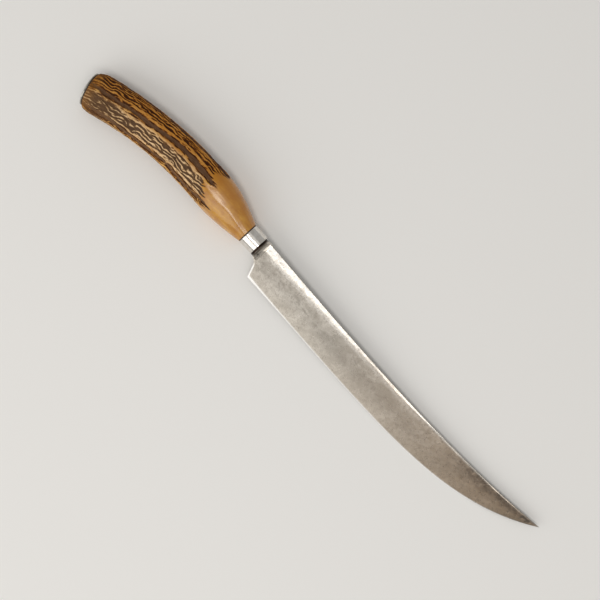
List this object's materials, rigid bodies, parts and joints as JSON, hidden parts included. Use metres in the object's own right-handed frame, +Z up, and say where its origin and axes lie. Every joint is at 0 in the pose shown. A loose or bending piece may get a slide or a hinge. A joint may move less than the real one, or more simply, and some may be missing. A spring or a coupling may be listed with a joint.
{
  "type": "knife",
  "caption": "Long slicing and carving knife with a pointed blade, a short bolster, a plain ferrule and a curved stag-antler handle closed by a domed cap.",
  "frame": {"origin": "on the table surface, under the middle of the knife's bounding box", "axes": "+X along the knife from the butt to the tip, +Y to the back of the blade, +Z up from the table the knife lies on"},
  "size_m": [0.3592, 0.0348, 0.0217],
  "materials": {
    "blade_steel": "worn satin carbon steel with grey patina and fine scratches",
    "white_metal": "polished nickel silver, lightly worn",
    "antler": "natural stag antler bark, polished smooth on the front taper",
    "spike_steel": "plain drawn steel",
    "cutlers_cement": "dark brown set resin, matt"
  },
  "bodies": {
    "root": {"blade": "blade_steel", "ferrule": "white_metal", "handle": "antler", "butt_cap": "white_metal", "cap_spike": "spike_steel", "tang_cement": "cutlers_cement", "cap_cement": "cutlers_cement"}
  },
  "joints": []
}
